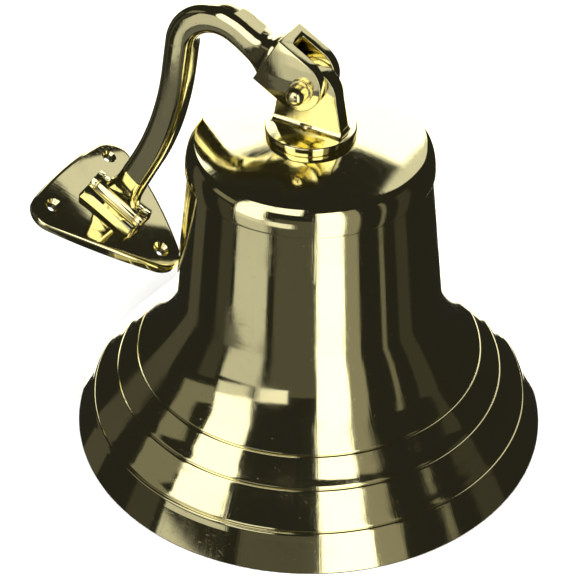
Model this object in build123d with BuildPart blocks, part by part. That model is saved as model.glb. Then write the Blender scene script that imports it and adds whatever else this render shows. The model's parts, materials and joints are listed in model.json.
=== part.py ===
"""Ship bell with a folding wall bracket.

The bell stands on its mouth.  A flat tongue on a round foot is bolted to the
crown.  A fork on the end of a swan-neck arm straddles the tongue and turns on
a cross pin, and the arm turns on a domed three-hole wall plate.  Inside, the
clapper hangs from an eye bolt by a shackle.

Millimetres.  The origin is the centre of the mouth, +Z is the bell's axis,
and the bracket folds down on the -X side in the plane Y = 0.
"""

import os
from math import cos, radians, sin

from build123d import *

# ---------------------------------------------------------------- bell shell
mouth_radius = 127.0            # outside of the lip
lip_land = 5.0                  # flat ring that the bell stands on
lip_chamfer = 1.0
ring_insets = (9.7, 23.4, 34.6)     # incised lines, in from the lip
ring_heights = (19.5, 35.9, 48.6)
ring_cut_side = 0.93            # V cut, as the corner of a square
ring_cut_turn = 95.0
skirt_blend_radius = 186.0      # slack sweep along the skirt
skirt_flare_radius = 62.0       # tight sweep from the skirt into the waist
waist_inset = 55.1              # where the waist line would meet the skirt line
waist_foot_height = 72.4
crown_height = 182.0            # flat seat under the hanger's foot
shoulder_inset = 64.8
shoulder_drop = 19.2            # below the seat
shoulder_bulge = 0.9
dome_rim_inset = 68.6
dome_rim_drop = 5.2             # below the seat
dome_bulge = 0.5
skirt_wall = 9.0                # level thickness at the top ring
bow_wall = 12.0                 # level thickness at the bottom ring
waist_wall = 5.4
crown_wall = 6.0
crown_pad_radius = 19.0         # flat face inside the crown
crown_inner_fall = 1.0          # fall of the inner crown out to its corner
crown_corner_depth = 12.0       # inner crown to the start of the waist
crown_corner_round = 9.0
inner_shoulder_round = 40.0
skirt_inner_round = 120.0
bow_inner_round = 14.0

# -------------------------------------------------------------- crown hanger
foot_radius = 23.0
foot_thickness = 4.8
foot_edge_round = 0.7
seat_margin = 1.0
tongue_sink = 0.8               # tongue's roots below the top of the foot
tongue_thickness = 8.6
tongue_top_radius = 16.0        # rounded top of the tongue
tongue_top_drop = 5.4           # its centre, below the cross pin
tongue_foot_half = 19.4
tongue_fillet = 3.0
pin_rise = 29.5                 # cross pin above the seat

# --------------------------------------------------------------- fork and arm
fold = 60.0                     # degrees from hung on a wall to folded down
fork_half_width = 14.6
fork_thickness = 21.0
fork_back = 23.0                # pin to the flat back of the fork
fork_round_centre = 4.6
fork_root = 16.9                # pin to the floor of the slot
fork_chamfer = 0.6
side_gap = 0.3
arm_section = 15.4
arm_corner = 4.4
arm_sink = 0.6                  # straight stretch below the hinge's middle, as hung
arm_straight = 46.0             # length of the straight stretch
arm_rise = 29.88                # from the straight stretch to the top of the crook
arm_rise_radius = 180.0
arm_crook_radius = 23.0
arm_drop_line = -3.5
tenon_radius = 4.0
tenon_length = 5.0
tenon_gap = 0.5
# trumpet over the fork: height above its back, shift out, extra width and depth
flare_steps = (
    (14.0, 0.0, 0.0, 0.0),
    (7.0, 0.3, 1.8, 0.8),
    (2.8, 1.2, 5.6, 2.4),
    (0.0, 2.4, 10.0, 4.4),
)

# ------------------------------------------------------------------ cross pin
yoke_pin_radius = 4.0
running_gap = 0.05
washer_lip = 2.3                # washer beyond the pin
washer_thickness = 1.4
pin_head_lip = 0.9
pin_head_length = 8.0
pin_head_round = 4.0
cap_nut_wall = 0.8
cap_nut_length = 6.5
cap_nut_hex = 4.0               # length of its six flats
cap_nut_round = 2.2
cap_nut_bore = 4.7              # depth of its blind hole
pin_in_nut = 4.5

# ----------------------------------------------------------------- wall plate
wall_clearance = 37.6           # lip to the face of the wall plate, as hung
screw_line = 70.7               # upper screws above the cross pin, as hung
screw_half_gap = 27.3
screw_drop = 58.6               # lower screw below the upper two
screw_radius = 2.5
sink_radius = 4.3
plate_back = 5.6
plate_crown = 2.2
plate_dome_radius = 300.0
plate_edge_round = 1.6
plate_shoulder = (-8.2, 45.5)   # sharp corners of the outline before rounding
plate_tip = 81.0
plate_top_bulge = -12.3
plate_side_bulge = (33.6, 28.0)
plate_corner = 13.0

# ------------------------------------------------------------- plate's hinge
hinge_drop = 23.5               # middle of the knuckle, below the upper screws
hinge_rise = 7.5                # hinge axis above the plate's face
knuckle_radius = 6.0
knuckle_length = 27.0
lug_radius = 6.4
lug_thickness = 3.0
hinge_washer_thickness = 0.9
face_gap = 0.1
boss_half_width = 11.6
boss_taper = 8.0
boss_wall_top = 7.9
trough_gap = 0.4
boss_end_margin = 1.0
boss_corner = 1.5
hinge_pin_radius = 3.0
hinge_pin_proud = 0.8
hinge_pin_round = 0.7
neck_half = 4.1
neck_corner = 3.7
root_length = 28.1              # hinge axis to the end of the plain bar
# waisted root of the arm: distance from the bar's end, width and depth
root_waist = (9.0, 16.0, 12.4)
root_neck = (16.5, 18.8, 9.0)
root_fan = (22.0, 23.6)
root_end = (25.6, 25.8)

# ------------------------------------------------------ clapper and its hanger
bolt_radius = 6.0
bolt_clearance = 0.3
crown_washer_radius = 16.0
crown_washer_thickness = 2.4
crown_nut_flats = 19.0
crown_nut_height = 9.0
thread_depth = 7.0              # eye bolt's end inside the hanger
thread_chamfer = 0.8
washer_chamfer = 0.4
eye_drop = 32.0                 # eye below the crown's seat
eye_radius = 10.0
eye_thickness = 8.0
eye_neck_gap = 1.8              # shackle's ears to the round shank
shackle_pin_radius = 4.0
shackle_ear_radius = 7.2
shackle_ear_thickness = 6.8
shackle_wire = 3.0
shackle_drop = 14.0             # pin to the centre of the bow
shackle_leg_lap = 3.0           # legs inside the ears
shackle_pin_end = 1.5           # round end beyond the far ear
shackle_pin_round = 1.2
shackle_head_lip = 1.6
shackle_head_length = 2.4
shackle_head_chamfer = 0.6
clapper_eye_wire = 2.7
clapper_eye_gap = 0.6
ball_height = 38.0
ball_radius = 18.5
rod_radius = 4.5
rod_foot_radius = 6.0
rod_lap = 1.0                   # rod inside its ring
rod_neck_length = 8.0
tail_height = 8.5
tail_radius = 5.2
tail_thickness = 5.0
lanyard_radius = 2.4
tail_neck_radius = 3.0
tail_neck_lap = 1.2             # neck inside the tail's disc

# ------------------------------------------------- sizes that follow the others
ring_radii = [mouth_radius - inset for inset in ring_insets]
waist_foot_radius = mouth_radius - waist_inset
shoulder_radius = mouth_radius - shoulder_inset
dome_rim_radius = mouth_radius - dome_rim_inset
shoulder_height = crown_height - shoulder_drop
dome_rim_height = crown_height - dome_rim_drop
pin_height = crown_height + pin_rise
washer_radius = yoke_pin_radius + washer_lip
pin_head_radius = yoke_pin_radius + pin_head_lip
cap_nut_flats = 2 * (yoke_pin_radius + cap_nut_wall)
eye_height = crown_height - eye_drop
reach = mouth_radius + wall_clearance
hinge_out = hinge_rise - reach
hinge_up = screw_line - hinge_drop
arm_height = hinge_up - arm_sink
root_start = hinge_out + root_length
arm_rise_start = root_start + arm_straight

os.makedirs("parts", exist_ok=True)


def save(part, name):
    """Labels a finished piece and writes it as a STEP file."""
    part.label = name
    export_step(part, f"parts/{name}.step")


# Planes of the folded bracket.  In hung_plane, x runs from the wall towards
# the bell and y runs up, both as they are when the plate is on a wall.
hung_plane = Plane(
    origin=(0, 0, pin_height),
    x_dir=(cos(radians(fold)), 0, sin(radians(fold))),
    z_dir=(0, -1, 0),
)


def hung(out, up, side=0.0):
    """Point in the row frame from a place in the hung bracket's own frame."""
    return hung_plane.from_local_coords(Vector(out, up, -side))


out_dir = hung(1, 0) - hung(0, 0)
up_dir = hung(0, 1) - hung(0, 0)
plate_plane = Plane(origin=hung(-reach, screw_line), x_dir=-up_dir, z_dir=out_dir)


def across_plate(drop, rise=0.0):
    """Plane square to the hinge axis, at a drop below the upper screws."""
    origin = plate_plane.from_local_coords(Vector(drop, 0, rise))
    return Plane(origin=origin, x_dir=(0, 1, 0), z_dir=plate_plane.x_dir)


# ================================================================ bell_body
waist_slope = (waist_foot_radius - shoulder_radius) / (shoulder_height - waist_foot_height)
inner_foot = waist_foot_radius - waist_wall
inner_crown = crown_height - crown_wall
inner_shoulder_height = inner_crown - crown_corner_depth
inner_shoulder = inner_foot - waist_slope * (inner_shoulder_height - waist_foot_height)
bow_inner = ring_radii[0] - bow_wall
skirt_inner = ring_radii[2] - skirt_wall

with BuildPart() as bell_body:
    with BuildSketch(Plane.XZ) as bell_profile:
        with BuildLine():
            lip_out = (mouth_radius, lip_chamfer)
            lip_foot = (mouth_radius - lip_chamfer, 0)
            lip_in = (mouth_radius - lip_chamfer - lip_land, 0)
            rim = (dome_rim_radius, dome_rim_height)
            shoulder = (shoulder_radius, shoulder_height)
            seat_edge = (foot_radius + seat_margin, crown_height)
            FilletPolyline(
                (ring_radii[0], ring_heights[0]),
                (ring_radii[2], ring_heights[2]),
                (waist_foot_radius, waist_foot_height),
                shoulder,
                radius=[skirt_blend_radius, skirt_flare_radius],
            )
            Polyline((ring_radii[0], ring_heights[0]), lip_out, lip_foot, lip_in)
            band_mid = (
                (shoulder_radius + dome_rim_radius) / 2 + shoulder_bulge,
                (shoulder_height + dome_rim_height) / 2,
            )
            ThreePointArc(shoulder, band_mid, rim)
            dome_mid = (
                (dome_rim_radius + seat_edge[0]) / 2,
                (dome_rim_height + crown_height) / 2 + dome_bulge,
            )
            ThreePointArc(rim, dome_mid, seat_edge)
            bore_radius = bolt_radius + bolt_clearance
            Polyline(
                seat_edge,
                (bore_radius, crown_height),
                (bore_radius, inner_crown),
                (crown_pad_radius, inner_crown),
            )
            FilletPolyline(
                (crown_pad_radius, inner_crown),
                (inner_shoulder, inner_crown - crown_inner_fall),
                (inner_shoulder, inner_shoulder_height),
                (inner_foot, waist_foot_height),
                (skirt_inner, ring_heights[2]),
                (bow_inner, ring_heights[0]),
                lip_in,
                radius=[
                    crown_corner_round,
                    inner_shoulder_round,
                    skirt_flare_radius,
                    skirt_inner_round,
                    bow_inner_round,
                ],
            )
        make_face()
    revolve(axis=Axis.Z)
    with BuildSketch(Plane.XZ):
        for ring_radius, ring_height in zip(ring_radii, ring_heights):
            with Locations((ring_radius, ring_height)):
                Rectangle(ring_cut_side, ring_cut_side, rotation=ring_cut_turn)
    revolve(axis=Axis.Z, mode=Mode.SUBTRACT)
save(bell_body.part, "bell_body")

# ============================================================ crown_hanger
foot_top = crown_height + foot_thickness
tongue_centre = pin_height - tongue_top_drop
with BuildPart() as crown_hanger:
    with BuildSketch(Plane.XY.offset(crown_height)):
        Circle(foot_radius)
    extrude(amount=foot_thickness)
    foot_edges = crown_hanger.edges().filter_by(GeomType.CIRCLE)
    fillet(foot_edges, radius=foot_edge_round)
    with BuildSketch(Plane.XZ):
        with BuildLine():
            left = (-tongue_top_radius, tongue_centre)
            right = (tongue_top_radius, tongue_centre)
            ThreePointArc(left, (0, tongue_centre + tongue_top_radius), right)
            foot_left = (-tongue_foot_half, foot_top - tongue_sink)
            foot_right = (tongue_foot_half, foot_top - tongue_sink)
            Polyline(right, foot_right, foot_left, left)
        make_face()
    extrude(amount=tongue_thickness / 2, both=True)
    root_edges = (
        crown_hanger.edges()
        .filter_by(Axis.X)
        .filter_by_position(Axis.Z, foot_top - tongue_sink / 4, foot_top + tongue_sink / 4)
    )
    fillet(root_edges, radius=tongue_fillet)
    with BuildSketch(Plane.XZ):
        with Locations((0, pin_height)):
            Circle(yoke_pin_radius + running_gap)
    extrude(amount=tongue_thickness, both=True, mode=Mode.SUBTRACT)
    with BuildSketch(Plane.XY.offset(crown_height)):
        Circle(bolt_radius)
    extrude(amount=thread_depth, mode=Mode.SUBTRACT)
save(crown_hanger.part, "crown_hanger")

# ====================================== crown washer, nut and the eye bolt
nut_top = inner_crown - crown_washer_thickness
nut_bottom = nut_top - crown_nut_height
with BuildPart() as crown_washer:
    with BuildSketch(Plane.XY.offset(nut_top)):
        Circle(crown_washer_radius)
        Circle(bore_radius, mode=Mode.SUBTRACT)
    extrude(amount=crown_washer_thickness)
    washer_edges = crown_washer.edges().filter_by(GeomType.CIRCLE)
    washer_rim = washer_edges.group_by(SortBy.RADIUS)[-1]
    chamfer(washer_rim, length=washer_chamfer)
save(crown_washer.part, "crown_washer")

with BuildPart() as crown_nut:
    with BuildSketch(Plane.XY.offset(nut_bottom)):
        RegularPolygon(crown_nut_flats / 2, 6, major_radius=False)
        Circle(bolt_radius, mode=Mode.SUBTRACT)
    extrude(amount=crown_nut_height)
save(crown_nut.part, "crown_nut")

with BuildPart() as eye_bolt:
    shank_foot = eye_height + shackle_ear_radius + eye_neck_gap
    with BuildSketch(Plane.XY.offset(shank_foot)):
        Circle(bolt_radius)
    extrude(amount=crown_height + thread_depth - shank_foot)
    tip_edge = eye_bolt.edges().filter_by(GeomType.CIRCLE).sort_by(Axis.Z)[-1]
    chamfer(tip_edge, length=thread_chamfer)
    with BuildSketch(Plane.XZ):
        with Locations((0, eye_height)):
            Circle(eye_radius)
            with Locations((0, (shank_foot - eye_height) / 2)):
                Rectangle(2 * bolt_radius, shank_foot - eye_height)
    extrude(amount=eye_thickness / 2, both=True)
    with BuildSketch(Plane.XZ):
        with Locations((0, eye_height)):
            Circle(shackle_pin_radius + running_gap)
    extrude(amount=eye_radius, both=True, mode=Mode.SUBTRACT)
save(eye_bolt.part, "eye_bolt")

# ===================================================== shackle and its pin
ear_inner = eye_thickness / 2 + side_gap
ear_middle = ear_inner + shackle_ear_thickness / 2
bow_centre = eye_height - shackle_drop
with BuildPart() as clapper_shackle:
    for side in (-1, 1):
        with BuildSketch(Plane.XZ.offset(side * ear_inner)):
            with Locations((0, eye_height)):
                Circle(shackle_ear_radius)
        extrude(amount=side * shackle_ear_thickness)
    with BuildLine():
        leg_top = eye_height - shackle_ear_radius + shackle_leg_lap
        Line((0, ear_middle, leg_top), (0, ear_middle, bow_centre))
        ThreePointArc(
            (0, ear_middle, bow_centre),
            (0, 0, bow_centre - ear_middle),
            (0, -ear_middle, bow_centre),
        )
        Line((0, -ear_middle, bow_centre), (0, -ear_middle, leg_top))
    with BuildSketch(Plane(origin=(0, ear_middle, leg_top), z_dir=(0, 0, -1))):
        Circle(shackle_wire)
    sweep()
    with BuildSketch(Plane.XZ):
        with Locations((0, eye_height)):
            Circle(shackle_pin_radius)
    extrude(amount=3 * ear_middle, both=True, mode=Mode.SUBTRACT)
save(clapper_shackle.part, "clapper_shackle")

pin_reach = ear_inner + shackle_ear_thickness
with BuildPart() as shackle_pin:
    with BuildSketch(Plane.XZ.offset(-pin_reach - shackle_pin_end)):
        with Locations((0, eye_height)):
            Circle(shackle_pin_radius)
    extrude(amount=2 * pin_reach + shackle_pin_end)
    with BuildSketch(Plane.XZ.offset(pin_reach)):
        with Locations((0, eye_height)):
            Circle(shackle_pin_radius + shackle_head_lip)
    extrude(amount=shackle_head_length)
    pin_ends = shackle_pin.edges().filter_by(GeomType.CIRCLE).sort_by(Axis.Y)
    near_edge = pin_ends[0]
    fillet(near_edge, radius=shackle_pin_round)
    far_edge = shackle_pin.edges().filter_by(GeomType.CIRCLE).sort_by(Axis.Y)[-1]
    chamfer(far_edge, length=shackle_head_chamfer)
save(shackle_pin.part, "shackle_pin")

# ===================================================== clapper rod and ball
bow_bottom = bow_centre - ear_middle
clapper_eye_radius = shackle_wire + clapper_eye_gap + clapper_eye_wire
rod_top = bow_bottom - clapper_eye_radius
tail_neck_foot = tail_height + tail_radius - tail_neck_lap
with BuildPart() as clapper_rod:
    with BuildSketch(Plane.XY.offset(bow_bottom)):
        with Locations((clapper_eye_radius, 0)):
            Circle(clapper_eye_wire)
    eye_axis = Axis((0, 0, bow_bottom), (0, 1, 0))
    revolve(axis=eye_axis)
    with BuildSketch(Plane.XZ):
        with BuildLine():
            Polyline(
                (0, rod_top + rod_lap),
                (clapper_eye_wire, rod_top + rod_lap),
                (rod_radius, rod_top - rod_neck_length),
                (rod_foot_radius, ball_height + ball_radius),
                (rod_foot_radius, ball_height),
                (tail_neck_radius, ball_height),
                (tail_neck_radius, tail_neck_foot),
                (0, tail_neck_foot),
                close=True,
            )
        make_face()
    revolve(axis=Axis.Z)
    with BuildSketch(Plane.XZ):
        with Locations((0, tail_height)):
            Circle(tail_radius)
    extrude(amount=tail_thickness / 2, both=True)
    with BuildSketch(Plane.XZ):
        with Locations((0, tail_height)):
            Circle(lanyard_radius)
    extrude(amount=tail_radius, both=True, mode=Mode.SUBTRACT)
save(clapper_rod.part, "clapper_rod")

with BuildPart() as clapper_ball:
    with BuildSketch(Plane.XZ):
        with BuildLine():
            top = (0, ball_height + ball_radius)
            bottom = (0, ball_height - ball_radius)
            ThreePointArc(top, (ball_radius, ball_height), bottom)
            Line(bottom, top)
        make_face()
    revolve(axis=Axis.Z)
    with BuildSketch(Plane.XY.offset(ball_height)):
        Circle(rod_foot_radius)
    extrude(amount=ball_radius, mode=Mode.SUBTRACT)
    with BuildSketch(Plane.XY.offset(ball_height)):
        Circle(tail_neck_radius)
    extrude(amount=-ball_radius, mode=Mode.SUBTRACT)
save(clapper_ball.part, "clapper_ball")

# ==================================================================== fork
slot_half = tongue_thickness / 2 + side_gap
with BuildPart() as fork:
    with BuildSketch(hung_plane):
        with BuildLine():
            left = (-fork_half_width, fork_round_centre)
            right = (fork_half_width, fork_round_centre)
            ThreePointArc(left, (0, fork_round_centre - fork_half_width), right)
            back_left = (-fork_half_width, fork_back)
            back_right = (fork_half_width, fork_back)
            Polyline(right, back_right, back_left, left)
        make_face()
    extrude(amount=fork_thickness / 2, both=True)
    ear_faces = fork.faces().filter_by(Axis.Y)
    chamfer(ear_faces.edges(), length=fork_chamfer)
    with BuildSketch(hung_plane):
        with Locations((0, fork_root - fork_back)):
            Rectangle(4 * fork_half_width, 2 * fork_back)
    extrude(amount=slot_half, both=True, mode=Mode.SUBTRACT)
    with BuildSketch(hung_plane):
        Circle(yoke_pin_radius)
    extrude(amount=fork_thickness, both=True, mode=Mode.SUBTRACT)
    tenon_plane = Plane(origin=hung(arm_drop_line, fork_back), z_dir=-up_dir)
    with BuildSketch(tenon_plane):
        Circle(tenon_radius)
    extrude(amount=tenon_length, mode=Mode.SUBTRACT)
save(fork.part, "fork")

# ============================================================= bracket_arm
corner_height = arm_height + arm_rise
flare_start = fork_back + flare_steps[0][0]
with BuildPart() as bracket_arm:
    with BuildLine(hung_plane) as arm_line:
        FilletPolyline(
            (root_start, arm_height),
            (arm_rise_start, arm_height),
            (arm_drop_line, corner_height),
            (arm_drop_line, flare_start),
            radius=[arm_rise_radius, arm_crook_radius],
        )
    arm_start = Plane(origin=hung(root_start, arm_height), x_dir=(0, 1, 0), z_dir=out_dir)
    with BuildSketch(arm_start):
        RectangleRounded(arm_section, arm_section, arm_corner)
    sweep(path=arm_line.line)
    # trumpet that meets the back of the fork
    for above, shift, wider, deeper in flare_steps:
        flare_origin = hung(arm_drop_line + shift, fork_back + above)
        with BuildSketch(Plane(origin=flare_origin, x_dir=out_dir, z_dir=-up_dir)):
            RectangleRounded(arm_section + wider, arm_section + deeper, arm_corner)
    loft()
    # waisted root that runs down into the hinge knuckle
    neck = 2 * neck_half
    root = (
        (0.0, arm_height, arm_section, arm_section, arm_corner),
        (root_waist[0], arm_height, root_waist[1], root_waist[2], arm_corner),
        (root_neck[0], hinge_up, root_neck[1], root_neck[2], neck_corner),
        (root_fan[0], hinge_up, root_fan[1], neck, neck_corner),
        (root_end[0], hinge_up, root_end[1], neck, neck_corner),
    )
    for back, centre, width, depth, corner in root:
        root_origin = hung(root_start - back, centre)
        with BuildSketch(Plane(origin=root_origin, x_dir=up_dir, z_dir=-out_dir)):
            RectangleRounded(width, depth, corner)
    loft()
    knuckle_plane = across_plate(hinge_drop, hinge_rise)
    with BuildSketch(knuckle_plane):
        Circle(knuckle_radius)
    extrude(amount=knuckle_length / 2, both=True)
    with BuildSketch(knuckle_plane):
        Circle(hinge_pin_radius + running_gap)
    extrude(amount=knuckle_length, both=True, mode=Mode.SUBTRACT)
    with BuildSketch(tenon_plane):
        Circle(tenon_radius)
    extrude(amount=tenon_length - tenon_gap)
save(bracket_arm.part, "bracket_arm")

# ============================================= cross pin, washers, cap nut
ear_face = fork_thickness / 2
with BuildPart() as yoke_washers:
    for near in (-ear_face - washer_thickness, ear_face):
        with BuildSketch(Plane.XZ.offset(-near)):
            with Locations((0, pin_height)):
                Circle(washer_radius)
                Circle(yoke_pin_radius, mode=Mode.SUBTRACT)
        extrude(amount=-washer_thickness)
save(yoke_washers.part, "yoke_washers")

head_face = ear_face + washer_thickness
with BuildPart() as yoke_pin:
    with BuildSketch(Plane.XZ.offset(head_face)):
        with Locations((0, pin_height)):
            Circle(yoke_pin_radius)
    extrude(amount=-2 * head_face - pin_in_nut)
    with BuildSketch(Plane.XZ.offset(head_face)):
        with Locations((0, pin_height)):
            Circle(pin_head_radius)
    extrude(amount=pin_head_length)
    head_edges = yoke_pin.edges().filter_by(GeomType.CIRCLE).sort_by(Axis.Y)[0]
    fillet(head_edges, radius=pin_head_round)
save(yoke_pin.part, "yoke_pin")

with BuildPart() as yoke_cap_nut:
    with BuildSketch(Plane.XZ.offset(-head_face)):
        with Locations((0, pin_height)):
            RegularPolygon(cap_nut_flats / 2, 6, major_radius=False)
    extrude(amount=-cap_nut_hex)
    with BuildSketch(Plane.XZ.offset(-head_face)):
        with Locations((0, pin_height)):
            Circle(cap_nut_flats / 2)
    extrude(amount=-cap_nut_length)
    dome_edge = yoke_cap_nut.edges().filter_by(GeomType.CIRCLE).sort_by(Axis.Y)[-1]
    fillet(dome_edge, radius=cap_nut_round)
    with BuildSketch(Plane.XZ.offset(-head_face)):
        with Locations((0, pin_height)):
            Circle(yoke_pin_radius)
    extrude(amount=-cap_nut_bore, mode=Mode.SUBTRACT)
save(yoke_cap_nut.part, "yoke_cap_nut")

# ============================================================== wall_plate
hinge_half = knuckle_length / 2 + hinge_washer_thickness + 2 * face_gap
boss_half = hinge_half + lug_thickness
with BuildPart() as wall_plate:
    with BuildSketch(plate_plane.offset(-plate_back)):
        with BuildLine():
            drop, half = plate_shoulder
            side_drop, side_half = plate_side_bulge
            ThreePointArc((drop, -half), (plate_top_bulge, 0), (drop, half))
            ThreePointArc((drop, half), (side_drop, side_half), (plate_tip, 0))
            ThreePointArc((plate_tip, 0), (side_drop, -side_half), (drop, -half))
        outline = make_face()
        fillet(outline.vertices(), radius=plate_corner)
    extrude(amount=plate_back + plate_crown)
    dome_centre = plate_plane.from_local_coords(
        Vector(hinge_drop, 0, plate_crown - plate_dome_radius)
    )
    with Locations(dome_centre):
        Sphere(plate_dome_radius, mode=Mode.INTERSECT)
    dome_face = wall_plate.faces().filter_by(GeomType.SPHERE)[0]
    fillet(dome_face.edges(), radius=plate_edge_round)
    # boss with two side walls and a trough between the lugs
    with BuildSketch(plate_plane):
        with Locations((hinge_drop, 0)):
            RectangleRounded(2 * (boss_half + boss_end_margin), 2 * boss_half_width, boss_corner)
    extrude(amount=boss_wall_top, taper=boss_taper)
    for side in (-1, 1):
        lug_plane = across_plate(hinge_drop + side * hinge_half, hinge_rise)
        with BuildSketch(lug_plane):
            Circle(lug_radius)
            with Locations((0, hinge_rise / 2)):
                Rectangle(2 * lug_radius, hinge_rise)
        extrude(amount=side * lug_thickness)
    with BuildSketch(across_plate(hinge_drop, hinge_rise)):
        trough = knuckle_radius + trough_gap
        Circle(trough)
        with Locations((0, -trough)):
            Rectangle(2 * trough, 2 * trough)
    extrude(amount=hinge_half, both=True, mode=Mode.SUBTRACT)
    with BuildSketch(across_plate(hinge_drop, hinge_rise)):
        Circle(hinge_pin_radius)
    extrude(amount=2 * boss_half, both=True, mode=Mode.SUBTRACT)
    screw_places = ((0, -screw_half_gap), (0, screw_half_gap), (screw_drop, 0))
    sink_depth = sink_radius + plate_crown
    for drop, half in screw_places:
        with Locations(plate_plane):
            with Locations((drop, half, 0)):
                Cylinder(screw_radius, 3 * plate_back, mode=Mode.SUBTRACT)
            with Locations((drop, half, plate_crown)):
                sink_align = (Align.CENTER, Align.CENTER, Align.MAX)
                Cone(0, sink_depth, sink_depth, align=sink_align, mode=Mode.SUBTRACT)
save(wall_plate.part, "wall_plate")

# ================================================ hinge pin and its washers
with BuildPart() as hinge_washers:
    for side in (-1, 1):
        inner = knuckle_length / 2 + face_gap
        washer_plane = across_plate(hinge_drop + side * inner, hinge_rise)
        with BuildSketch(washer_plane):
            Circle(knuckle_radius)
            Circle(hinge_pin_radius, mode=Mode.SUBTRACT)
        extrude(amount=side * (hinge_washer_thickness + face_gap))
save(hinge_washers.part, "hinge_washers")

with BuildPart() as hinge_pin:
    with BuildSketch(across_plate(hinge_drop, hinge_rise)):
        Circle(hinge_pin_radius)
    extrude(amount=boss_half + hinge_pin_proud, both=True)
    fillet(hinge_pin.edges().filter_by(GeomType.CIRCLE), radius=hinge_pin_round)
save(hinge_pin.part, "hinge_pin")
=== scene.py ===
"""Polished ship bell on its folded wall bracket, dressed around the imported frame."""

import json
import logging
import math
from dataclasses import dataclass, field
from enum import Enum
from typing import Iterable, Optional, Sequence, Union

import bmesh
import bpy
from mathutils import Matrix, Vector


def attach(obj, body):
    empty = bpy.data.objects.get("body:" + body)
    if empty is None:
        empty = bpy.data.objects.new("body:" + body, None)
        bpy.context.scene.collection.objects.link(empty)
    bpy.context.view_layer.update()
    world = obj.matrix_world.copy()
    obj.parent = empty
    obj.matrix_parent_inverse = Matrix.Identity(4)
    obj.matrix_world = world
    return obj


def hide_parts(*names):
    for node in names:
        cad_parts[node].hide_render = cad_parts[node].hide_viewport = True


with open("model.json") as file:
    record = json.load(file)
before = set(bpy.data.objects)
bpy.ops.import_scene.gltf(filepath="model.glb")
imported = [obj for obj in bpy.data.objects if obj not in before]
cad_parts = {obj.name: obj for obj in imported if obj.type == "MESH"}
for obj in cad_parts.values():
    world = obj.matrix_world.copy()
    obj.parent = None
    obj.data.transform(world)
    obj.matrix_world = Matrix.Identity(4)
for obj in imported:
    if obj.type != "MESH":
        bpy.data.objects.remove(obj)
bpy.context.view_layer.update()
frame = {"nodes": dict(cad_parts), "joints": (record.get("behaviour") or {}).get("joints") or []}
LOG = logging.getLogger("ship_bell")
MM = 0.001

Number = Union[int, float]
Operand = Union["Value", Number]
Colour = tuple[float, float, float]
Point = tuple[float, float, float]
Profile = list[tuple[float, float]]
Piece = bpy.types.Object
Finish = bpy.types.Material


# ------------------------------------------------------------- shader maths
class Value:
    """A shader output that Python arithmetic can be written on."""

    def __init__(self, maker: "Shader", socket: bpy.types.NodeSocket) -> None:
        """Wraps one output socket of a shader tree."""
        self.maker = maker
        self.socket = socket

    def _math(self, operation: str, *values: Operand) -> "Value":
        """Adds one Math node.

        Args:
            operation: the Math node's operation.
            values: what goes into its inputs, in order.

        Returns:
            The node's result.
        """
        return self.maker.node("ShaderNodeMath", {"operation": operation}, dict(enumerate(values)))

    def __add__(self, other: Operand) -> "Value":
        """Sum."""
        return self._math("ADD", self, other)

    __radd__ = __add__

    def __sub__(self, other: Operand) -> "Value":
        """Difference."""
        return self._math("SUBTRACT", self, other)

    def __rsub__(self, other: Operand) -> "Value":
        """Difference with the operands turned round."""
        return self._math("SUBTRACT", other, self)

    def __mul__(self, other: Operand) -> "Value":
        """Product."""
        return self._math("MULTIPLY", self, other)

    __rmul__ = __mul__

    def ramp(self, low: Number, high: Number) -> "Value":
        """Smooth step from 0 at low to 1 at high."""
        sockets = {"Value": self, "From Min": low, "From Max": high}
        return self.maker.node("ShaderNodeMapRange", {"interpolation_type": "SMOOTHSTEP"}, sockets)


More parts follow.
